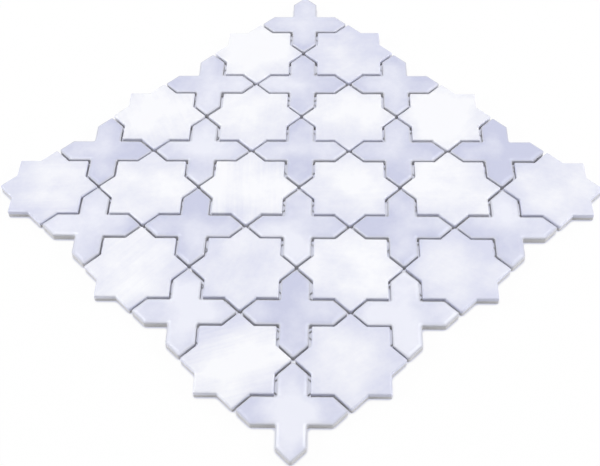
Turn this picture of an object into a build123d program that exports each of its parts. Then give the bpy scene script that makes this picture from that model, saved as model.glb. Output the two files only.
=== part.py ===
from build123d import *
import os
import random
from math import atan2, degrees, floor, sqrt

# Mosaic sheet of ceramic stars and crosses on a backing net.
# The pieces lie on a square grid and alternate, star and cross, as on a chessboard. A star is two equal
# squares, one turned by 45 degrees. A cross is what four stars leave between them: a square whose sides are
# each notched by the tip of a star. Along the sheet's edges the tips stand out and the notches stay open, so
# that the next sheet locks in.
# The origin is under the middle of the sheet, on the surface that it lies on. X and Y run along its edges.
# All sizes are in millimetres.

# Layout of the sheet
PIECES_PER_SIDE = 6
PITCH = 47.0  # centre of a star to the centre of the next cross
STAR_SETBACK = 0.5  # from the middle line of an open joint to the side of a star
CROSS_SETBACK = 1.0  # from the same line to the side of a cross, which is cut a little smaller
LAYING_SHIFT = 0.2  # most that a piece lies off its place, along X and along Y
LAYING_TURN = 0.2  # most that a piece is turned off the grid, in degrees
LAYING_SEED = 5

# Both kinds of piece
TILE_THICKNESS = 5.2
BACK_BEVEL = 0.3  # pressed edge, from the side in to the back

# Edges of a star: upright ones at its tips and between them, and a small round along its flat face
STAR_CORNER_ROUND = 0.9
STAR_RIM_ROUND = 0.8

# Edges of a cross: upright ones at its tips and in its notches, and a cushion edge, which slopes from the
# face down to the side
CROSS_CORNER_ROUND = 1.3
CUSHION_WIDTH = 2.6
CUSHION_DROP = 0.7
CUSHION_ROUND = 3.0  # where the slope runs out into the face

# Backing net, glued to the backs of the pieces and cut short of the notches
NET_PITCH = 10.0
NET_YARN = 0.9
NET_THICKNESS = 0.4
NET_SETBACK = 2.0  # least distance from the roots of the notches to the net's edge

# What follows from those sizes
STAR_SQUARE = PITCH - 2 * STAR_SETBACK
CROSS_SQUARE = PITCH - 2 * CROSS_SETBACK
NOTCH_SQUARE = PITCH + 2 * CROSS_SETBACK
NOTCH_ROOT = PITCH - NOTCH_SQUARE / sqrt(2)  # from a cross's centre
CUSHION_TAPER = degrees(atan2(CUSHION_WIDTH, CUSHION_DROP))
FIRST_CENTRE = -(PIECES_PER_SIDE - 1) / 2 * PITCH
NET_REACH = (PIECES_PER_SIDE - 1) / 2 * PITCH + NOTCH_ROOT - NET_SETBACK
YARNS_PER_HALF = floor((NET_REACH - NET_YARN / 2) / NET_PITCH + 0.5)
NET_HALF = (YARNS_PER_HALF - 0.5) * NET_PITCH + NET_YARN / 2

os.makedirs("parts", exist_ok=True)

# Star, as it leaves its mould, with its back on the ground
with BuildPart() as star:
    with BuildSketch():
        Rectangle(STAR_SQUARE, STAR_SQUARE)
        Rectangle(STAR_SQUARE, STAR_SQUARE, rotation=45)
    extrude(amount=TILE_THICKNESS)
    fillet(star.edges().filter_by(Axis.Z), radius=STAR_CORNER_ROUND)
    star_face = star.faces().sort_by(Axis.Z)[-1]
    fillet(star_face.outer_wire().edges(), radius=STAR_RIM_ROUND)
    star_back = star.faces().sort_by(Axis.Z)[0]
    chamfer(star_back.outer_wire().edges(), length=BACK_BEVEL)

# Cross, as it leaves its mould: its arms reach to the corners of its grid square
with BuildSketch() as cross_outline:
    Rectangle(CROSS_SQUARE, CROSS_SQUARE)
    with PolarLocations(PITCH, 4):
        Rectangle(NOTCH_SQUARE, NOTCH_SQUARE, rotation=45, mode=Mode.SUBTRACT)

with BuildPart() as cross:
    add(cross_outline.sketch)
    extrude(amount=TILE_THICKNESS - CUSHION_DROP)
    extrude(cross.faces().sort_by(Axis.Z)[-1], amount=CUSHION_DROP, taper=CUSHION_TAPER)
    with BuildSketch() as rounded_outline:
        add(cross_outline.sketch)
        fillet(rounded_outline.vertices(), radius=CROSS_CORNER_ROUND)
    extrude(amount=TILE_THICKNESS, mode=Mode.INTERSECT)
    cross_face = cross.faces().sort_by(Axis.Z)[-1]
    fillet(cross_face.outer_wire().edges(), radius=CUSHION_ROUND)
    cross_back = cross.faces().sort_by(Axis.Z)[0]
    chamfer(cross_back.outer_wire().edges(), length=BACK_BEVEL)

# Half of the net, from the sheet's middle line out to one edge: flat yarns, fused where they cross
with BuildPart() as net_half:
    with BuildSketch():
        with GridLocations(NET_PITCH, NET_PITCH, 1, 2 * YARNS_PER_HALF):
            Rectangle(NET_HALF, NET_YARN, align=(Align.MIN, Align.CENTER))
        with Locations((YARNS_PER_HALF * NET_PITCH / 2, 0)):
            with GridLocations(NET_PITCH, NET_PITCH, YARNS_PER_HALF, 1):
                Rectangle(NET_YARN, 2 * NET_HALF)
    extrude(amount=NET_THICKNESS)


def lay_piece(made, seat):
    """Copy of a made piece, with its back on the given plane."""
    with BuildPart(seat) as piece:
        add(made.part)
    return piece.part


def write_node(piece, name):
    """Label a finished piece and write it as its own file."""
    piece.label = name
    export_step(piece, f"parts/{name}.step")


# Laid pieces: each lies a little off its place, the same way at every build
laying = random.Random(LAYING_SEED)
for row in range(PIECES_PER_SIDE):
    for column in range(PIECES_PER_SIDE):
        centre_x = FIRST_CENTRE + column * PITCH + laying.uniform(-LAYING_SHIFT, LAYING_SHIFT)
        centre_y = FIRST_CENTRE + row * PITCH + laying.uniform(-LAYING_SHIFT, LAYING_SHIFT)
        turn = laying.uniform(-LAYING_TURN, LAYING_TURN)
        seat = Plane((centre_x, centre_y, NET_THICKNESS)).rotated((0, 0, turn))
        if (row + column) % 2:
            write_node(lay_piece(star, seat), f"star_tile_r{row + 1}_c{column + 1}")
        else:
            write_node(lay_piece(cross, seat), f"cross_tile_r{row + 1}_c{column + 1}")

# Backing net
write_node(lay_piece(net_half, Plane.XY), "backing_net_right")
write_node(lay_piece(net_half, Plane.XY.rotated((0, 0, 180))), "backing_net_left")
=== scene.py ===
"""Looks of a mosaic sheet: glazed ceramic stars and crosses with open joints, on a woven backing net."""

import math
import random

import bpy
import numpy as np
from mathutils import Matrix, Vector, geometry, noise


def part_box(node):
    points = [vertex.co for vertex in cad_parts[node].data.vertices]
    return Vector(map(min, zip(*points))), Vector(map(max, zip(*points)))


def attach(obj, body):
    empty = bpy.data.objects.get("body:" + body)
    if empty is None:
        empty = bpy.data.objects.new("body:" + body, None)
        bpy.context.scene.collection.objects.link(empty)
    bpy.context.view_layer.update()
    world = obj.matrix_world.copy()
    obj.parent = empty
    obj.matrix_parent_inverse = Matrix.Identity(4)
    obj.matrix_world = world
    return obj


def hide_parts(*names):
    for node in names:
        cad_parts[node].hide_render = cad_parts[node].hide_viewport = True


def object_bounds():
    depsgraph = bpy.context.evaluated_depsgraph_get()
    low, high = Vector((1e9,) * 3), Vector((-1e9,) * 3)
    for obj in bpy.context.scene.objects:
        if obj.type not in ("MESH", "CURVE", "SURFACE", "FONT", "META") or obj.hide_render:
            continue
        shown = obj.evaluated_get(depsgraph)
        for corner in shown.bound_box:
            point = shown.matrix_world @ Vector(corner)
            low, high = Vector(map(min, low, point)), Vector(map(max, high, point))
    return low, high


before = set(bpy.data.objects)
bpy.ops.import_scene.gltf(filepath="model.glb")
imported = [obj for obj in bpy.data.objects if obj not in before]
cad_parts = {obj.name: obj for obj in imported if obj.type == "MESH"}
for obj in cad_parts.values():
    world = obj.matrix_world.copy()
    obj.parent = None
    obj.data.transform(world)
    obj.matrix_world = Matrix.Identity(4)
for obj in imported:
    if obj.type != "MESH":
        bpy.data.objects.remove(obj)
CAD_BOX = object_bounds()

bl_info = {
    "name": "Star and Cross Mosaic Sheet",
    "version": (1, 0, 0),
    "blender": (4, 5, 0),
    "location": "3D View > Sidebar > Mosaic",
    "description": "Dresses a mosaic sheet with fired pieces, a woven net and a studio stage",
    "category": "Add Mesh",
}

MM = 0.001
BODY = "root"
FACE_HEIGHT = CAD_BOX[1][2]

# Pieces of the frame, by kind
STARS = sorted(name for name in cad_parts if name.startswith("star_tile"))
CROSSES = sorted(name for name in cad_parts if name.startswith("cross_tile"))
NETS = sorted(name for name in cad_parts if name.startswith("backing_net"))

# Pieces from a brighter or a darker firing lot than the plain one, which all the rest are from
LOTS = {
    "bright": {
        "star_tile_r2_c5",
        "star_tile_r3_c6",
        "star_tile_r6_c3",
        "star_tile_r6_c5",
        "cross_tile_r1_c3",
        "cross_tile_r3_c1",
    },
    "fair": {
        "star_tile_r4_c3",
        "cross_tile_r1_c1",
        "cross_tile_r3_c3",
    },
    "dull": {
        "star_tile_r1_c2",
        "star_tile_r1_c6",
        "star_tile_r3_c2",
        "star_tile_r6_c1",
        "cross_tile_r2_c4",
        "cross_tile_r4_c2",
        "cross_tile_r4_c4",
        "cross_tile_r4_c6",
        "cross_tile_r6_c6",
    },
    "deep": {
        "star_tile_r1_c4",
        "star_tile_r5_c6",
        "cross_tile_r2_c2",
        "cross_tile_r2_c6",
        "cross_tile_r3_c5",
        "cross_tile_r6_c2",
    },
}

# Share of the darker of a glaze's two colours in the pieces of each lot
STAR_SHARES = {
    "bright": (0.05, 0.12),
    "fair": (0.14, 0.18),
    "plain": (0.2, 0.3),
    "dull": (0.5, 0.6),
    "deep": (0.7, 0.78),
}
CROSS_SHARES = {
    "bright": (0.06, 0.14),
    "fair": (0.2, 0.26),
    "plain": (0.36, 0.46),
    "dull": (0.6, 0.66),
    "deep": (0.74, 0.82),
}

# Stars on which streaks show, partly brush strokes and partly painted reflections of a lamp's edge in the
# wavy glaze: the direction of the streaks, in degrees from +X, and their strength
STROKES_AND_REFLECTIONS = {
    "star_tile_r2_c1": (-27, 1.0),
    "star_tile_r2_c5": (-42, 0.3),
    "star_tile_r3_c4": (-42, 0.35),
    "star_tile_r4_c1": (5, 0.7),
    "star_tile_r4_c3": (48, 1.0),
    "star_tile_r6_c1": (-42, 0.35),
    "star_tile_r6_c3": (69, 0.6),
}
FAINT_STROKES = 0.12
STROKE_WIDTH = 13 * MM

# Waves to the metre along a stroke, across it and upright: of its sway, and of the brush's hairs
STROKE_SWAY = (30.0, 12.0, 1.0)
BRUSH_HAIRS = (25.0, 420.0, 1.0)

# How far down from the face the glaze covers the sides, above bare clay
STAR_GLAZE_DEPTH = 2.6 * MM
CROSS_GLAZE_DEPTH = 1.6 * MM
GLAZE_FOOT_WANDER = 0.9 * MM  # its lower edge runs up and down by up to half of this
GLAZE_FOOT_BLUR = 0.3 * MM
PALE_CLAY = 1.16  # lighter specks of the clay, as a multiple of its colour

# Band of the face beside the edge that is painted darker, as painted shade of the rounded edge; the same
# darker colour goes on down the glazed side
STAR_EDGE_SHADE_WIDTH = 0.7 * MM
CROSS_EDGE_SHADE_WIDTH = 1.2 * MM
CROSS_EDGE_SHADE_WANDER = 0.8 * MM

# About how far a piece's tips reach from its centre: its glaze is darkest there
STAR_REACH = 30 * MM
CROSS_REACH = 26 * MM

# How far each thing moves the share of the darker colour in a star's glaze
STROKE_AND_REFLECTION_WEIGHT = 0.7
HAIR_WEIGHT = 0.12
STROKE_HAIR_WEIGHT = 0.4  # hairs show more where strokes do
STAR_CLOUD_WEIGHT = 0.6
STAR_MOTTLE_WEIGHT = 0.45
STAR_TIP_WEIGHT = 0.31
STAR_TIP_MIDDLE = 0.35  # share of the reach, squared, at which a star's glaze is as its lot has it
# painted shade: how much more lavender the glaze is made along the edge and down the glazed side
STAR_EDGE_SHADE_WEIGHT = 0.35

# The same for a cross's glaze
CROSS_POOL_WEIGHT = 0.75
CROSS_MOTTLE_WEIGHT = 0.5
CROSS_TIP_WEIGHT = 0.3
CROSS_INNER_WEIGHT = 0.1  # the one that lightens, away from the edge

STAR_TIPS = 8

# Fullness of the curve over an edge: 1 is a straight slope and 2 a round
STAR_RIM_FULLNESS = 2.0
CUSHION_FULLNESS = 1.3

# Length of the soft waves along the edges and over the faces
EDGE_WAVE_LENGTH = 9 * MM
FACE_WAVE_LENGTH = 24 * MM

# Seeds of the differences from piece to piece
STAR_SEED = 11
CROSS_SEED = 23
SEED_RANGE = 100

# Strands of the net, as shares of its thickness: how thick they are, and how far they swing up and down
WEFT_THICKNESS = 0.42
WEFT_SWING = 0.12
WARP_THICKNESS = 0.4
WARP_SWING = 0.28
STRAND_SIDES = 8
DARK_YARN = 0.78  # darker places of the yarn, as a multiple of its colour

# Lamps, in metres: the middles of two opposite sides, the width, and the setting that holds the power
LAMPS = {
    "top_softbox": ((-0.35, 1.35, 2.4), (1.35, -0.35, 2.4), 2.4, "top_power"),
    "left_softbox": ((-2.75, 1.05, 1.2), (-1.05, 2.75, 1.2), 1.2, "side_power"),
    "right_softbox": ((1.05, -2.75, 1.2), (2.75, -1.05, 1.2), 1.2, "side_power"),
    "left_strip": ((0.0, 1.7, 1.97), (-0.41, 0.87, 2.42), 0.35, "strip_power"),
    "right_strip": ((1.69, 0.17, 1.97), (0.91, -0.32, 2.42), 0.35, "strip_power"),
}
SKY_COLOUR = (0.8, 0.8, 0.8)
FLOOR_LEVEL = -0.05 * MM  # just clear of the net
SENSOR_WIDTH = 36.0  # of the camera, in millimetres

# Fineness of the pieces' meshes
ARC_STEPS = 5
EDGE_STEPS = 5
RIM_STEPS = 7
SIDE_STEPS = 3
FACE_MARGIN = 0.6  # from a face's edge to its grid of points, as a share of the grid's step
INSIDE_ONLY = 1  # kind of triangulation that leaves out what lies outside the edge
SAME_SPOT = 1e-9  # points nearer than this, in metres, are one
SHARPEST_ROUND = 0.08 * MM
SHARP_ANGLE = math.radians(40)

# Upright faces of the frame's pieces: the most that their normals rise, and how many ways they look
UPRIGHT = 0.01
FACINGS = 8


class SheetSizes(bpy.types.PropertyGroup):
    """Sizes of the fired pieces."""

    pitch: bpy.props.FloatProperty(
        name="Pitch", description="Centre of a star to the centre of the next cross",
        default=47.0 * MM, unit="LENGTH")
    star_setback: bpy.props.FloatProperty(
        name="Star setback", description="From the middle line of a joint to the side of a star",
        default=0.5 * MM, unit="LENGTH")
    cross_setback: bpy.props.FloatProperty(
        name="Cross setback", description="From the middle line of a joint to the side of a cross",
        default=1.0 * MM, unit="LENGTH")
    star_corner: bpy.props.FloatProperty(
        name="Star corner", description="Radius of the upright edges of a star",
        default=0.9 * MM, unit="LENGTH")
    cross_corner: bpy.props.FloatProperty(
        name="Cross corner", description="Radius of the upright edges of a cross",
        default=1.3 * MM, unit="LENGTH")
    back_bevel: bpy.props.FloatProperty(
        name="Back bevel", description="Pressed edge between the side and the back",
        default=0.3 * MM, unit="LENGTH")
    star_rim_width: bpy.props.FloatProperty(
        name="Star rim width", description="Width of the round at the edge of a star's face",
        default=1.4 * MM, unit="LENGTH")
    star_rim_drop: bpy.props.FloatProperty(
        name="Star rim drop", description="Height of the round at the edge of a star's face",
        default=0.8 * MM, unit="LENGTH")
    cushion_width: bpy.props.FloatProperty(
        name="Cushion width", description="Width of the sloping edge of a cross's face",
        default=2.6 * MM, unit="LENGTH")
    cushion_drop: bpy.props.FloatProperty(
        name="Cushion drop", description="Height of the sloping edge of a cross's face",
        default=0.7 * MM, unit="LENGTH")
    face_wave: bpy.props.FloatProperty(
        name="Face wave", description="Depth of the soft waves in a glazed face",
        default=0.07 * MM, unit="LENGTH")
    edge_wave: bpy.props.FloatProperty(
        name="Edge wave", description="Most that a fired edge runs in from its straight line",
        default=0.12 * MM, unit="LENGTH")
    face_step: bpy.props.FloatProperty(
        name="Face step", description="Distance between the points of a glazed face",
        default=1.6 * MM, unit="LENGTH")


class GlazeColours(bpy.types.PropertyGroup):
    """Colours of the glazes, the fired clay and the net."""

    star_white: bpy.props.FloatVectorProperty(
        name="Star white", description="Clear white glaze of the stars",
        default=(0.95, 0.955, 0.99), subtype="COLOR", min=0, max=1)
    star_cloud: bpy.props.FloatVectorProperty(
        name="Star cloud", description="Lavender clouds and streaks in the stars' glaze",
        default=(0.695, 0.712, 0.86), subtype="COLOR", min=0, max=1)
    cross_grey: bpy.props.FloatVectorProperty(
        name="Cross grey", description="Lavender grey glaze of the crosses, where it lies thin",
        default=(0.845, 0.857, 0.95), subtype="COLOR", min=0, max=1)
    cross_deep: bpy.props.FloatVectorProperty(
        name="Cross deep", description="Glaze of the crosses where it lies thick",
        default=(0.595, 0.615, 0.785), subtype="COLOR", min=0, max=1)
    # Painted shade: darker, greyer colour of the crosses' edge band and glazed sides, for the shade on the
    # cushion's slope
    cross_edge_shade: bpy.props.FloatVectorProperty(
        name="Cross rim", description="Greyer glaze of the crosses, where it runs over the edge",
        default=(0.62, 0.63, 0.70), subtype="COLOR", min=0, max=1)
    clay: bpy.props.FloatVectorProperty(
        name="Clay", description="Bare fired clay, on the sides and the back",
        default=(0.575, 0.57, 0.585), subtype="COLOR", min=0, max=1)
    yarn: bpy.props.FloatVectorProperty(
        name="Yarn", description="Coated glass yarn of the net",
        default=(0.70, 0.70, 0.70), subtype="COLOR", min=0, max=1)


class NetSizes(bpy.types.PropertyGroup):
    """Sizes of the woven net."""

    pitch: bpy.props.FloatProperty(
        name="Pitch", description="From one yarn to the next",
        default=10.0 * MM, unit="LENGTH")
    weft_width: bpy.props.FloatProperty(
        name="Weft width", description="Width of the flat yarns along X",
        default=0.9 * MM, unit="LENGTH")
    warp_width: bpy.props.FloatProperty(
        name="Warp width", description="Width of each of the two strands of a yarn along Y",
        default=0.42 * MM, unit="LENGTH")
    steps: bpy.props.IntProperty(
        name="Steps", description="Rings of a strand between two crossings",
        default=8, min=4)


class StageSettings(bpy.types.PropertyGroup):
    """Floor, light and camera."""

    floor_colour: bpy.props.FloatVectorProperty(
        name="Floor", description="Colour of the floor",
        default=(0.97, 0.97, 0.97), subtype="COLOR", min=0, max=1)
    # Painted shade: the floor glows in this bluish grey where the sheet closes it in, deep in the joints and
    # along its foot, standing in for the shade there and for the light that the glazes throw down
    painted_shade_colour: bpy.props.FloatVectorProperty(
        name="Joint", description="Floor deep in the joints, in light that the glazes throw down",
        default=(0.57, 0.585, 0.70), subtype="COLOR", min=0, max=1)
    floor_size: bpy.props.FloatProperty(
        name="Floor size", description="Length of the floor's sides",
        default=6.0, unit="LENGTH")
    floor_glow: bpy.props.FloatProperty(
        name="Floor glow", description="Share of plain white in the floor that the camera sees",
        default=0.95, min=0, max=1)
    # Painted contact shadow: how far from the sheet the floor's glow is turned towards the painted shade
    # colour
    painted_shadow_reach: bpy.props.FloatProperty(
        name="Shadow reach", description="How far the sheet's dark contact shadow reaches over the floor",
        default=2.3 * MM, unit="LENGTH")
    sky: bpy.props.FloatProperty(
        name="Sky", description="Strength of the even light from all round",
        default=0.273)
    top_power: bpy.props.FloatProperty(
        name="Top light", description="Power of the softbox overhead",
        default=8.0, unit="POWER")
    strip_power: bpy.props.FloatProperty(
        name="Strip lights", description="Power of each strip lamp above the sides",
        default=9.0, unit="POWER")
    side_power: bpy.props.FloatProperty(
        name="Side lights", description="Power of each softbox beside the sheet",
        default=54.5, unit="POWER")
    camera_distance: bpy.props.FloatProperty(
        name="Camera distance", description="From the camera to the point that it looks at",
        default=648.7 * MM, unit="LENGTH")
    camera_heading: bpy.props.FloatProperty(
        name="Camera heading", description="Direction of view in plan, from +X towards +Y",
        default=math.radians(47.76), unit="ROTATION")
    camera_drop: bpy.props.FloatProperty(
        name="Camera drop", description="Angle that the camera looks down by",
        default=math.radians(50.77), unit="ROTATION")
    camera_roll: bpy.props.FloatProperty(
        name="Camera roll", description="Turn of the camera about its line of view",
        default=math.radians(-1.79), unit="ROTATION")
    camera_lens: bpy.props.FloatProperty(
        name="Camera lens", description="Focal length in millimetres, on a sensor 36 mm wide",
        default=61.41, unit="CAMERA")
    camera_aim: bpy.props.FloatVectorProperty(
        name="Camera aim", description="Point of the sheet's faces in the middle of the picture",
        default=(-26.62 * MM, -28.88 * MM, FACE_HEIGHT), subtype="XYZ", unit="LENGTH")


class Wire:
    """Socket of a shader node that takes part in sums: each operator adds its Math node."""

    def __init__(self, recipe, socket):
        self.recipe = recipe
        self.socket = socket

    def __add__(self, other):
        return self.recipe.math("ADD", self, other)

    def __sub__(self, other):
        return self.recipe.math("SUBTRACT", self, other)

    def __rsub__(self, other):
        return self.recipe.math("SUBTRACT", other, self)

    def __mul__(self, other):
        return self.recipe.math("MULTIPLY", self, other)

    def __truediv__(self, other):
        return self.recipe.math("DIVIDE", self, other)

    __radd__ = __add__
    __rmul__ = __mul__


class Recipe:
    """Material or world in the making: adds nodes and wires their sockets."""

    def __init__(self, owner):
        owner.use_nodes = True
        self.owner = owner
        self.tree = owner.node_tree
        self.tree.nodes.clear()

    def node(self, kind, settings=None, sockets=None, out=0):
        """Adds a node: its settings, then its sockets' values or wires. Gives the wire of one output."""
        made = self.tree.nodes.new(kind)
        for key, value in (settings or {}).items():
            setattr(made, key, value)
        for key, value in (sockets or {}).items():
            if isinstance(value, Wire):
                self.tree.links.new(value.socket, made.inputs[key])
            else:
                made.inputs[key].default_value = value
        return Wire(self, made.outputs[out]) if len(made.outputs) else None

    def math(self, operation, *values):
        """Sum on numbers."""
        return self.node("ShaderNodeMath", {"operation": operation}, dict(enumerate(values)))

    def vector(self, operation, *values):
        """Sum on vectors."""
        return self.node("ShaderNodeVectorMath", {"operation": operation}, dict(enumerate(values)))

    def mix(self, first, second, share):
        """Colour between two colours."""
        sockets = {0: share, 6: opaque(first), 7: opaque(second)}
        return self.node("ShaderNodeMix", {"data_type": "RGBA"}, sockets, out=2)

    def ease(self, value, low, high):
        """Smooth step from 0 at low to 1 at high."""
        sockets = {"Value": value, "From Min": low, "From Max": high}
        return self.node("ShaderNodeMapRange", {"interpolation_type": "SMOOTHSTEP"}, sockets)

    def clamp(self, value):
        """Value kept from 0 to 1."""
        return self.math("MAXIMUM", self.math("MINIMUM", value, 1.0), 0.0)

    def noise(self, place, scale, detail=2.0, rough=0.5):
        """Soft random pattern from 0 to 1."""
        sockets = {"Vector": place, "Scale": scale, "Detail": detail, "Roughness": rough}
        return self.node("ShaderNodeTexNoise", {"noise_dimensions": "3D"}, sockets)

    def attribute(self, name, out):
        """What the mesh carries under a name."""
        return self.node("ShaderNodeAttribute", {"attribute_name": name}, out=out)

    def parts(self, vector):
        """The three components of a vector, as wires."""
        split = self.node("ShaderNodeSeparateXYZ", sockets={0: vector})
        outputs = split.socket.node.outputs
        return [Wire(self, outputs[axis]) for axis in range(3)]

    def bump(self, height, distance, strength, **under):
        """Fine relief, on top of the relief that is given as Normal."""
        sockets = {"Height": height, "Distance": distance, "Strength": strength, **under}
        return self.node("ShaderNodeBump", sockets=sockets)

    def seen(self):
        """1 for what the camera, reflections and glass see, and 0 for light that falls on other things."""
        camera = self.node("ShaderNodeLightPath", out="Is Camera Ray")
        outputs = camera.socket.node.outputs
        mirrored = Wire(self, outputs["Is Glossy Ray"]) + Wire(self, outputs["Is Transmission Ray"])
        return self.math("MINIMUM", camera + mirrored, 1.0)

    def surface(self, shader, output="ShaderNodeOutputMaterial"):
        """Ends the recipe with its shader. Gives the finished material or world."""
        self.node(output, sockets={"Surface": shader})
        return self.owner


def opaque(colour):
    """Colour with its alpha, for a colour socket. A wire stays as it is."""
    return colour if isinstance(colour, Wire) else (*colour, 1.0)


def swing(pattern, weight, middle=0.5):
    """Pattern from 0 to 1 as a change up and down, which is none at its middle and spans the weight."""
    return (pattern - middle) * weight


def glaze_start(recipe):
    """Wires that both glazes use: place on the sheet, the piece's lot, and the place moved by the lot."""
    place = recipe.node("ShaderNodeTexCoord", out="Object")
    lot = recipe.attribute("lot", "Vector")
    own_place = recipe.vector("ADD", place, lot)
    return place, recipe.parts(lot), own_place


def fired_piece(recipe, place, glaze_colour, gloss, face_bump, clay, glaze_depth):
    """Glaze over the face and down the side to about its depth, and bare clay below its ragged edge."""
    height = recipe.parts(place)[2]
    ragged = recipe.noise(place, scale=160.0, detail=3.0)
    wander = swing(ragged, GLAZE_FOOT_WANDER)
    foot = FACE_HEIGHT - glaze_depth
    covered = recipe.ease(height + wander, low=foot - GLAZE_FOOT_BLUR, high=foot + GLAZE_FOOT_BLUR)
    speck = recipe.noise(place, scale=1400.0, detail=4.0, rough=0.7)
    blotch = recipe.noise(place, scale=90.0, detail=3.0)
    clay_light = tuple(min(1.0, part * PALE_CLAY) for part in clay)
    clay_colour = recipe.mix(clay, clay_light, speck * 0.5 + blotch * 0.5)
    colour = recipe.mix(clay_colour, glaze_colour, covered)
    rough = (1 - covered) * (0.62 + speck * 0.2) + covered * gloss
    grain = recipe.bump(speck * (1 - covered), distance=0.12 * MM, strength=0.6)
    face = recipe.bump(face_bump * covered, distance=0.05 * MM, strength=0.5, Normal=grain)
    shader = recipe.node("ShaderNodeBsdfPrincipled", sockets={
        "Base Color": colour, "Roughness": rough, "Normal": face, "IOR": 1.5})
    return recipe.surface(shader)


def brushed(recipe, place, angle, width):
    """Strokes of a wide brush at an angle, each with a strength from 0 to 1, and the brush's hairs. On the
    listed stars the strong strokes are painted reflections of a lamp's edge.
    """
    turned = recipe.node(
        "ShaderNodeVectorRotate", {"rotation_type": "Z_AXIS"}, {"Vector": place, "Angle": 0 - angle})
    sway = recipe.noise(recipe.vector("MULTIPLY", turned, STROKE_SWAY), scale=1.0, detail=1.0)
    across = recipe.parts(turned)[1] / width + sway * 0.5
    stroke = recipe.math("FLOOR", across)
    blend = recipe.ease(across - stroke, low=0.3, high=1.0)
    here = recipe.node("ShaderNodeTexWhiteNoise", {"noise_dimensions": "1D"}, {"W": stroke})
    after = recipe.node("ShaderNodeTexWhiteNoise", {"noise_dimensions": "1D"}, {"W": stroke + 1})
    hairs = recipe.noise(recipe.vector("MULTIPLY", turned, BRUSH_HAIRS), scale=1.0, detail=3.0)
    return here * (1 - blend) + after * blend, hairs


def star_glaze(colours):
    """White glaze with faint lavender clouds and brush strokes, some of them painted reflections of a lamp's
    edge, and painted shade as a lavender band along the edge.
    """
    recipe = Recipe(bpy.data.materials.new("star_glaze"))
    place, (share, angle, streaky), own_place = glaze_start(recipe)
    rim = recipe.attribute("rim", "Fac")
    outward = recipe.attribute("reach", "Fac") / STAR_REACH
    drift = recipe.ease(recipe.noise(own_place, scale=24.0, detail=2.0), low=0.3, high=0.7)
    mottle = recipe.noise(own_place, scale=260.0, detail=4.0, rough=0.65)
    strokes, hairs = brushed(recipe, own_place, angle, STROKE_WIDTH)
    # Painted reflection: on the listed stars the strong strokes paint a lamp's edge mirrored in the glaze,
    # as white beside lavender
    band = swing(strokes, streaky * STROKE_AND_REFLECTION_WEIGHT) + swing(hairs, HAIR_WEIGHT + streaky * STROKE_HAIR_WEIGHT)
    cloud = swing(drift, STAR_CLOUD_WEIGHT) + swing(mottle, STAR_MOTTLE_WEIGHT)
    edge = swing(outward * outward, STAR_TIP_WEIGHT, STAR_TIP_MIDDLE)
    # Painted shade: the glaze is made more lavender along the edge and down the glazed side
    over = (1 - recipe.ease(rim, low=0.0, high=STAR_EDGE_SHADE_WIDTH)) * STAR_EDGE_SHADE_WEIGHT
    veil = recipe.clamp(share + band + cloud + edge + over)
    colour = recipe.mix(colours.star_white, colours.star_cloud, veil)
    ripple = recipe.noise(own_place, scale=130.0, detail=2.0)
    gloss = 0.16 + ripple * 0.08
    relief = ripple + hairs * 0.1
    return fired_piece(recipe, place, colour, gloss, relief, colours.clay, STAR_GLAZE_DEPTH)


def cross_glaze(colours):
    """Lavender grey glaze, mottled, lighter in the middle, and greyer along the edge and down the glazed
    side as painted shade of the cushion's slope.
    """
    recipe = Recipe(bpy.data.materials.new("cross_glaze"))
    place, (share, _, _), own_place = glaze_start(recipe)
    rim = recipe.attribute("rim", "Fac")
    outward = recipe.attribute("reach", "Fac") / CROSS_REACH
    pool = recipe.noise(own_place, scale=30.0, detail=1.5)
    mottle = recipe.noise(own_place, scale=210.0, detail=4.0, rough=0.6)
    gathered = recipe.ease(pool, low=0.3, high=0.7)
    cloud = swing(gathered, CROSS_POOL_WEIGHT) + swing(mottle, CROSS_MOTTLE_WEIGHT)
    inner = recipe.ease(rim, low=2.5 * MM, high=10.0 * MM)
    edge = swing(outward, CROSS_TIP_WEIGHT) - swing(inner, CROSS_INNER_WEIGHT)
    thick = recipe.clamp(share + cloud + edge)
    body = recipe.mix(colours.cross_grey, colours.cross_deep, thick)
    # Painted shade: the edge band and the glazed side take the darker, greyer colour
    wander = swing(mottle, CROSS_EDGE_SHADE_WANDER) + swing(pool, CROSS_EDGE_SHADE_WANDER)
    over = 1 - recipe.ease(rim + wander, low=0.0, high=CROSS_EDGE_SHADE_WIDTH)
    colour = recipe.mix(body, colours.cross_edge_shade, over)
    ripple = recipe.noise(own_place, scale=150.0, detail=2.0)
    gloss = 0.2 + mottle * 0.1
    relief = ripple + mottle * 0.3
    return fired_piece(recipe, place, colour, gloss, relief, colours.clay, CROSS_GLAZE_DEPTH)


def net_yarn(colours):
    """Glass yarn in a matt coating: fine specks of fibre, and small lumps where the coating lies thick."""
    recipe = Recipe(bpy.data.materials.new("net_yarn"))
    place = recipe.node("ShaderNodeTexCoord", out="Object")
    lumps = recipe.noise(place, scale=700.0, detail=3.0)
    fibres = recipe.noise(place, scale=5200.0, detail=2.0)
    dark = tuple(part * DARK_YARN for part in colours.yarn)
    colour = recipe.mix(dark, colours.yarn, lumps * 0.6 + fibres * 0.5)
    relief = recipe.bump(lumps + fibres * 0.5, distance=0.06 * MM, strength=0.7)
    shader = recipe.node("ShaderNodeBsdfPrincipled", sockets={
        "Base Color": colour, "Roughness": 0.5 + fibres * 0.3, "Normal": relief})
    return recipe.surface(shader)


def unit(vectors):
    """Each row of an array of vectors, at length 1."""
    return vectors / np.linalg.norm(vectors, axis=1, keepdims=True)


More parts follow.
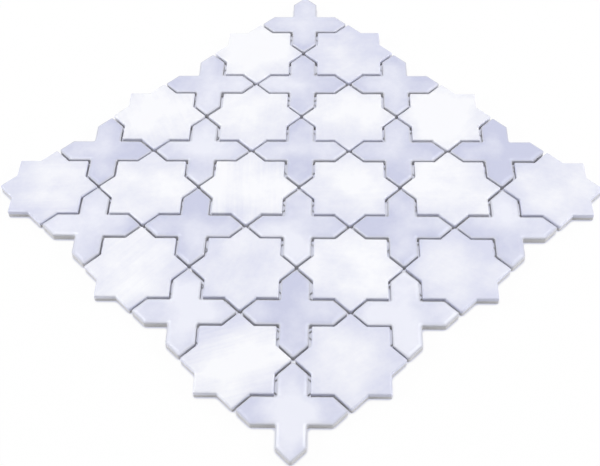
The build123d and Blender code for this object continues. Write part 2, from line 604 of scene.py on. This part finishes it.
def star_corners(sizes):
    """Corners of a star round its centre: eight tips, with an inner corner after each."""
    half = sizes.pitch / 2 - sizes.star_setback
    tip = half * math.sqrt(2)
    inner = half / math.cos(math.pi / STAR_TIPS)
    order = np.arange(2 * STAR_TIPS)
    angles = order * math.pi / STAR_TIPS
    reach = np.where(order % 2, inner, tip)
    return np.column_stack((reach * np.cos(angles), reach * np.sin(angles)))


def cross_corners(sizes):
    """Corners of a cross round its centre: in each quarter a notch's root, its mouth, a tip and a mouth."""
    half = sizes.pitch / 2 - sizes.cross_setback
    root = sizes.pitch - (sizes.pitch + 2 * sizes.cross_setback) / math.sqrt(2)
    quarter = np.array([(root, 0), (half, half - root), (half, half), (half - root, half)])
    turned = [quarter]
    for _ in range(3):
        turned.append(np.column_stack((-turned[-1][:, 1], turned[-1][:, 0])))
    return np.concatenate(turned)


def outline(corners, corner_round, inset):
    """Points of an outline moved in by inset, with rounded corners. Every inset gives as many points."""
    arriving = unit(corners - np.roll(corners, 1, axis=0))
    leaving = np.roll(arriving, -1, axis=0)
    inward = np.column_stack((-arriving[:, 1], arriving[:, 0]))
    next_inward = np.roll(inward, -1, axis=0)
    mitre = (inward + next_inward) / (1 + (inward * next_inward).sum(axis=1, keepdims=True))
    moved = corners + inset * mitre
    sine = arriving[:, 0] * leaving[:, 1] - arriving[:, 1] * leaving[:, 0]
    turn = np.arctan2(sine, (arriving * leaving).sum(axis=1))
    side = np.sign(turn)
    radius = np.maximum(corner_round - side * inset, SHARPEST_ROUND)
    start = moved - arriving * (radius * np.tan(np.abs(turn) / 2))[:, None]
    centre = start + inward * (side * radius)[:, None]
    swept = turn[:, None] * np.linspace(0, 1, ARC_STEPS + 1)
    cosine, sine = np.cos(swept), np.sin(swept)
    spoke_x = inward[:, :1] * cosine - inward[:, 1:] * sine
    spoke_y = inward[:, :1] * sine + inward[:, 1:] * cosine
    spokes = np.stack((spoke_x, spoke_y), axis=2)
    arcs = centre[:, None, :] - spokes * (side * radius)[:, None, None]
    following = np.roll(arcs[:, 0, :], -1, axis=0)
    shares = (np.arange(1, EDGE_STEPS + 1) / (EDGE_STEPS + 1))[None, :, None]
    edges = arcs[:, -1:, :] * (1 - shares) + following[:, None, :] * shares
    return np.concatenate((arcs, edges), axis=1).reshape(-1, 2)


def inside(points, polygon):
    """Which points lie inside a polygon."""
    after = np.roll(polygon, -1, axis=0)
    x, y = points[:, :1], points[:, 1:]
    spans = (polygon[:, 1] > y) != (after[:, 1] > y)
    rise = np.where(after[:, 1] == polygon[:, 1], 1.0, after[:, 1] - polygon[:, 1])
    crossing = polygon[:, 0] + (y - polygon[:, 1]) / rise * (after[:, 0] - polygon[:, 0])
    return (spans & (x < crossing)).sum(axis=1) % 2 == 1


def edge_distance(points, polygon):
    """Distance of each point from the nearest side of a polygon."""
    after = np.roll(polygon, -1, axis=0)
    along = after - polygon
    offset = points[:, None, :] - polygon[None, :, :]
    share = np.clip((offset * along).sum(axis=2) / (along ** 2).sum(axis=1), 0, 1)
    return np.linalg.norm(offset - share[:, :, None] * along, axis=2).min(axis=1)


def rim_profile(width, drop, fullness):
    """Insets and heights from the top of the side to the edge of the face. A fullness of 2 is a round."""
    along = np.linspace(0, math.pi / 2, RIM_STEPS + 1)
    insets = width * (1 - np.cos(along) ** (2 / fullness))
    heights = drop * (np.sin(along) ** (2 / fullness) - 1)
    return list(zip(insets, heights))


def piece_profile(thickness, sizes, rim):
    """Rings of a piece from its back, up its side and over its rim: inset, and height above the back."""
    side_top = thickness + rim[0][1]
    rings = [(sizes.back_bevel, 0.0)]
    for step in range(SIDE_STEPS + 1):
        rings.append((0.0, sizes.back_bevel + (side_top - sizes.back_bevel) * step / SIDE_STEPS))
    for inset, height in rim[1:]:
        rings.append((inset, thickness + height))
    return rings


def fill_face(edge, margin_edge, step):
    """Triangles between the points of a face's edge and an even grid of points inside its margin."""
    reach = np.abs(edge).max()
    ticks = np.arange(-reach, reach + step, step)
    grid = np.array([(x + step / 2 * (row % 2), y) for row, y in enumerate(ticks) for x in ticks])
    points = np.concatenate((edge, grid[inside(grid, margin_edge)]))
    border = list(range(len(edge)))
    spots = [Vector(point) for point in points]
    places, _, triangles, origins, _, _ = geometry.delaunay_2d_cdt(
        spots, [], [border], INSIDE_ONLY, SAME_SPOT)
    order = {index: from_points[0] for index, from_points in enumerate(origins)}
    flat = np.zeros((len(places), 2))
    for index, source in order.items():
        flat[source] = places[index]
    return flat[len(edge):], [[order[i] for i in triangle] for triangle in triangles]


def wave(x, y, seed, length):
    """Smooth noise from 0 to 1, over waves of about the given length."""
    return 0.5 + 0.5 * noise.noise(Vector((x / length, y / length, seed)))


def node_turn(name):
    """Turn of a piece about Z, from the ways that its upright faces look, which are 45 degrees apart."""
    total = 0j
    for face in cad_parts[name].data.polygons:
        if abs(face.normal.z) < UPRIGHT:
            looks = complex(face.normal.x, face.normal.y)
            total += face.area * (looks / abs(looks)) ** FACINGS
    return math.atan2(total.imag, total.real) / FACINGS


def firing_lot(name, shares, chance):
    """What sets a piece apart: the share of its darker glaze, and the angle and strength of its strokes."""
    lot = next((lot for lot, names in LOTS.items() if name in names), "plain")
    share = chance.uniform(*shares[lot])
    direction, strength = STROKES_AND_REFLECTIONS.get(name, (chance.uniform(0, 180), FAINT_STROKES))
    return share, math.radians(direction), strength


def piece_shape(thickness, corners, corner_round, rim, sizes):
    """Points of a piece, in rings up its side and over its rim and all over its face, with their distances
    from the edge, and the faces between them."""
    rings = piece_profile(thickness, sizes, rim)
    points, rims = [], []
    for inset, height in rings:
        ring = outline(corners, corner_round, inset)
        points.extend((x, y, height) for x, y in ring)
        rims.extend([inset] * len(ring))
    count = len(ring)
    margin = outline(corners, corner_round, rings[-1][0] + sizes.face_step * FACE_MARGIN)
    inner, triangles = fill_face(ring, margin, sizes.face_step)
    first = (len(rings) - 1) * count
    points.extend((x, y, thickness) for x, y in inner)
    rims.extend(edge_distance(inner, corners))
    faces = [list(range(count))[::-1]]
    for level in range(len(rings) - 1):
        for i in range(count):
            after = (i + 1) % count
            lower, upper = level * count, (level + 1) * count
            faces.append([lower + i, lower + after, upper + after, upper + i])
    faces.extend([first + i for i in triangle] for triangle in triangles)
    return points, rims, faces


def make_piece(name, corners, corner_round, rim, shares, sizes, chance):
    """Mesh of a fired piece in its node's place, with waved edges and a waved face."""
    low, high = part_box(name)
    middle = (low + high) / 2
    thickness = high.z - low.z
    points, rims, faces = piece_shape(thickness, corners, corner_round, rim, sizes)
    seed = chance.uniform(0, SEED_RANGE)
    seat = Matrix.Translation((middle.x, middle.y, low.z)) @ Matrix.Rotation(node_turn(name), 4, "Z")
    places = []
    for x, y, height in points:
        pull = 0.0
        if height < thickness:
            pull = sizes.edge_wave * wave(x, y, seed, EDGE_WAVE_LENGTH) / math.hypot(x, y)
        deep = wave(x, y, seed + SEED_RANGE / 2, FACE_WAVE_LENGTH) * (height / thickness) ** 2
        places.append(seat @ Vector((x * (1 - pull), y * (1 - pull), height - sizes.face_wave * deep)))
    mesh = bpy.data.meshes.new(name)
    mesh.from_pydata(places, [], faces)
    mesh.shade_smooth()
    mesh.set_sharp_from_angle(angle=SHARP_ANGLE)
    mesh.attributes.new("rim", "FLOAT", "POINT").data.foreach_set("value", rims)
    reaches = [math.hypot(x, y) for x, y, height in points]
    mesh.attributes.new("reach", "FLOAT", "POINT").data.foreach_set("value", reaches)
    lot = np.tile(firing_lot(name, shares, chance), len(places))
    mesh.attributes.new("lot", "FLOAT_VECTOR", "POINT").data.foreach_set("vector", lot)
    return mesh


def add_piece(name, mesh, material, node):
    """Puts a finished mesh in the scene, on the sheet's body, in place of its node."""
    mesh.materials.append(material)
    piece = bpy.data.objects.new(name, mesh)
    bpy.context.scene.collection.objects.link(piece)
    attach(piece, BODY)
    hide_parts(node)


def strand(path, width, thickness):
    """Closed tube with an oval section along a path that runs about level. Gives its points and faces."""
    sides = STRAND_SIDES
    ahead = unit(np.gradient(path, axis=0))
    across = unit(np.column_stack((-ahead[:, 1], ahead[:, 0], np.zeros(len(path)))))
    upward = np.cross(ahead, across)
    angles = np.arange(sides) * 2 * math.pi / sides
    wide = across[:, None, :] * np.cos(angles)[None, :, None] * width / 2
    thick = upward[:, None, :] * np.sin(angles)[None, :, None] * thickness / 2
    points = (path[:, None, :] + wide + thick).reshape(-1, 3)
    last = (len(path) - 1) * sides
    faces = [list(range(sides)), [last + i for i in range(sides)][::-1]]
    for ring in range(len(path) - 1):
        for i in range(sides):
            after = (i + 1) % sides
            near, far = ring * sides, (ring + 1) * sides
            faces.append([near + i, far + i, far + after, near + after])
    return points, faces


def woven_paths(low, high, sizes):
    """Path, width and thickness of each strand of half a net: flat wefts along X, twisted warps along Y."""
    thickness = high.z - low.z
    half_turn = math.pi / sizes.pitch
    step = sizes.pitch / sizes.steps
    mid_z = (low.z + high.z) / 2
    first_y = low.y + sizes.weft_width / 2
    wefts = round((high.y - low.y - sizes.weft_width) / sizes.pitch) + 1
    outward = 1 if abs(high.x) > abs(low.x) else -1
    first_x = sizes.pitch / 2 * outward
    warps = round((max(abs(high.x), abs(low.x)) - sizes.pitch / 2) / sizes.pitch) + 1
    x = np.linspace(low.x, high.x, round((high.x - low.x) / step) + 1)
    for row in range(wefts):
        y = first_y + row * sizes.pitch
        z = mid_z + WEFT_SWING * thickness * np.cos((x - first_x) * half_turn) * (-1) ** row
        yield np.column_stack((x, np.full_like(x, y), z)), sizes.weft_width, WEFT_THICKNESS * thickness
    y = np.linspace(low.y, high.y, round((high.y - low.y) / step) + 1)
    for column in range(warps):
        for side in (-1, 1):
            twist = (y - first_y) * half_turn + column * math.pi
            x = first_x + outward * column * sizes.pitch + side * sizes.warp_width / 2 * np.sin(twist)
            z = mid_z + side * WARP_SWING * thickness * np.cos(twist)
            yield np.column_stack((x, y, z)), sizes.warp_width, WARP_THICKNESS * thickness


def make_net(name, sizes):
    """Mesh of half a net: all its strands, joined."""
    low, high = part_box(name)
    points, faces, total = [], [], 0
    for path, width, thickness in woven_paths(low, high, sizes):
        strand_points, strand_faces = strand(path, width, thickness)
        points.append(strand_points)
        faces.extend([total + i for i in face] for face in strand_faces)
        total += len(strand_points)
    joined = np.concatenate(points)
    joined = np.clip(joined, np.array(low), np.array(high))
    mesh = bpy.data.meshes.new(name)
    mesh.from_pydata(joined.tolist(), [], faces)
    mesh.shade_smooth()
    return mesh


class MOSAIC_OT_lay_stars(bpy.types.Operator):
    """Lay the white stars"""

    bl_idname = "mosaic.lay_stars"
    bl_label = "Lay Stars"

    def execute(self, context):
        sizes = context.scene.mosaic_sizes
        material = star_glaze(context.scene.mosaic_colours)
        corners = star_corners(sizes)
        rim = rim_profile(sizes.star_rim_width, sizes.star_rim_drop, STAR_RIM_FULLNESS)
        chance = random.Random(STAR_SEED)
        for node in STARS:
            mesh = make_piece(node, corners, sizes.star_corner, rim, STAR_SHARES, sizes, chance)
            add_piece(node.replace("tile", "piece"), mesh, material, node)
        return {"FINISHED"}


class MOSAIC_OT_lay_crosses(bpy.types.Operator):
    """Lay the lavender grey crosses"""

    bl_idname = "mosaic.lay_crosses"
    bl_label = "Lay Crosses"

    def execute(self, context):
        sizes = context.scene.mosaic_sizes
        material = cross_glaze(context.scene.mosaic_colours)
        corners = cross_corners(sizes)
        rim = rim_profile(sizes.cushion_width, sizes.cushion_drop, CUSHION_FULLNESS)
        chance = random.Random(CROSS_SEED)
        for node in CROSSES:
            mesh = make_piece(node, corners, sizes.cross_corner, rim, CROSS_SHARES, sizes, chance)
            add_piece(node.replace("tile", "piece"), mesh, material, node)
        return {"FINISHED"}


class MOSAIC_OT_weave_net(bpy.types.Operator):
    """Weave the backing net"""

    bl_idname = "mosaic.weave_net"
    bl_label = "Weave Net"

    def execute(self, context):
        material = net_yarn(context.scene.mosaic_colours)
        for node in NETS:
            mesh = make_net(node, context.scene.mosaic_net)
            add_piece(node.replace("backing", "woven"), mesh, material, node)
        return {"FINISHED"}


def floor_material(stage):
    """Pale floor that the camera and reflections see as nearly white, with the object's shadow kept. Where
    the sheet closes it in, along its foot and deep in the joints, the floor glows in a painted shade colour.
    """
    recipe = Recipe(bpy.data.materials.new("floor"))
    clear = recipe.node("ShaderNodeAmbientOcclusion", sockets={"Distance": stage.painted_shadow_reach}, out="AO")
    # Painted shade: the floor's glow turns from white to the painted shade colour where the sheet closes it
    # in
    painted_shade_tone = recipe.mix(stage.painted_shade_colour, (1, 1, 1), recipe.ease(clear, low=0.4, high=0.85))
    lit = recipe.node("ShaderNodeBsdfDiffuse", sockets={"Color": opaque(stage.floor_colour)})
    glow = recipe.node("ShaderNodeEmission", sockets={"Color": painted_shade_tone, "Strength": 1.0})
    share = recipe.seen() * stage.floor_glow
    shader = recipe.node("ShaderNodeMixShader", sockets={0: share, 1: lit, 2: glow})
    return recipe.surface(shader)


def add_softbox(name, start, end, width, power):
    """Lamp as long as from one point to another, turned towards the sheet."""
    start, end = Vector(start), Vector(end)
    middle = (start + end) / 2
    along = (end - start).normalized()
    across = along.cross(middle).normalized()
    lamp = bpy.data.lights.new(name, "AREA")
    lamp.shape = "RECTANGLE"
    lamp.size = (end - start).length
    lamp.size_y = width
    lamp.energy = power
    held = bpy.data.objects.new(name, lamp)
    turned = Matrix((along, -across, along.cross(-across))).transposed().to_4x4()
    held.matrix_world = Matrix.Translation(middle) @ turned
    bpy.context.scene.collection.objects.link(held)


def add_sky(strength):
    """Even light from all round, which the camera and reflections see at full strength."""
    recipe = Recipe(bpy.data.worlds.new("studio"))
    light = recipe.node("ShaderNodeBackground", sockets={"Color": opaque(SKY_COLOUR), "Strength": strength})
    pale = recipe.node("ShaderNodeBackground", sockets={"Color": opaque(SKY_COLOUR), "Strength": 1.0})
    pick = recipe.node("ShaderNodeMixShader", sockets={0: recipe.seen(), 1: light, 2: pale})
    bpy.context.scene.world = recipe.surface(pick, "ShaderNodeOutputWorld")


def add_camera(stage):
    """Camera at the photograph's viewing angle."""
    drop, heading = stage.camera_drop, stage.camera_heading
    level = Vector((math.cos(heading), math.sin(heading), 0))
    forward = level * math.cos(drop) - Vector((0, 0, math.sin(drop)))
    right = Vector((math.sin(heading), -math.cos(heading), 0))
    above = right.cross(forward)
    rolled_right = right * math.cos(stage.camera_roll) + above * math.sin(stage.camera_roll)
    rolled_up = rolled_right.cross(forward)
    camera = bpy.data.cameras.new("camera")
    camera.sensor_width = SENSOR_WIDTH
    camera.lens = stage.camera_lens
    held = bpy.data.objects.new("camera", camera)
    turned = Matrix((rolled_right, rolled_up, -forward)).transposed().to_4x4()
    place = Vector(stage.camera_aim) - forward * stage.camera_distance
    held.matrix_world = Matrix.Translation(place) @ turned
    bpy.context.scene.collection.objects.link(held)
    bpy.context.scene.camera = held


class MOSAIC_OT_set_stage(bpy.types.Operator):
    """Set the floor, the light and the camera"""

    bl_idname = "mosaic.set_stage"
    bl_label = "Set Stage"

    def execute(self, context):
        stage = context.scene.mosaic_stage
        half = stage.floor_size / 2
        mesh = bpy.data.meshes.new("floor")
        flat = [(-half, -half), (half, -half), (half, half), (-half, half)]
        mesh.from_pydata([(x, y, FLOOR_LEVEL) for x, y in flat], [], [(0, 1, 2, 3)])
        mesh.materials.append(floor_material(stage))
        floor = bpy.data.objects.new("floor", mesh)
        context.scene.collection.objects.link(floor)
        for name, (start, end, width, power) in LAMPS.items():
            add_softbox(name, start, end, width, getattr(stage, power))
        add_sky(stage.sky)
        add_camera(stage)
        context.scene.view_settings.view_transform = "Standard"
        return {"FINISHED"}


class MOSAIC_PT_sheet(bpy.types.Panel):
    """Panel with the sheet's operators and settings"""

    bl_idname = "MOSAIC_PT_sheet"
    bl_label = "Mosaic Sheet"
    bl_space_type = "VIEW_3D"
    bl_region_type = "UI"
    bl_category = "Mosaic"

    def draw(self, context):
        for operator in OPERATORS:
            self.layout.operator(operator.bl_idname)
        for group in SETTINGS:
            settings = getattr(context.scene, group)
            box = self.layout.box()
            for key in settings.__annotations__:
                box.prop(settings, key)


OPERATORS = (MOSAIC_OT_lay_stars, MOSAIC_OT_lay_crosses, MOSAIC_OT_weave_net, MOSAIC_OT_set_stage)
SETTINGS = {
    "mosaic_sizes": SheetSizes,
    "mosaic_colours": GlazeColours,
    "mosaic_net": NetSizes,
    "mosaic_stage": StageSettings,
}


def register():
    for group, settings in SETTINGS.items():
        bpy.utils.register_class(settings)
        setattr(bpy.types.Scene, group, bpy.props.PointerProperty(type=settings))
    for added in (*OPERATORS, MOSAIC_PT_sheet):
        bpy.utils.register_class(added)


def unregister():
    for added in (MOSAIC_PT_sheet, *reversed(OPERATORS)):
        bpy.utils.unregister_class(added)
    for group, settings in SETTINGS.items():
        delattr(bpy.types.Scene, group)
        bpy.utils.unregister_class(settings)


def main():
    register()
    bpy.ops.mosaic.lay_stars()
    bpy.ops.mosaic.lay_crosses()
    bpy.ops.mosaic.weave_net()
    bpy.ops.mosaic.set_stage()


if __name__ == "__main__":
    main()
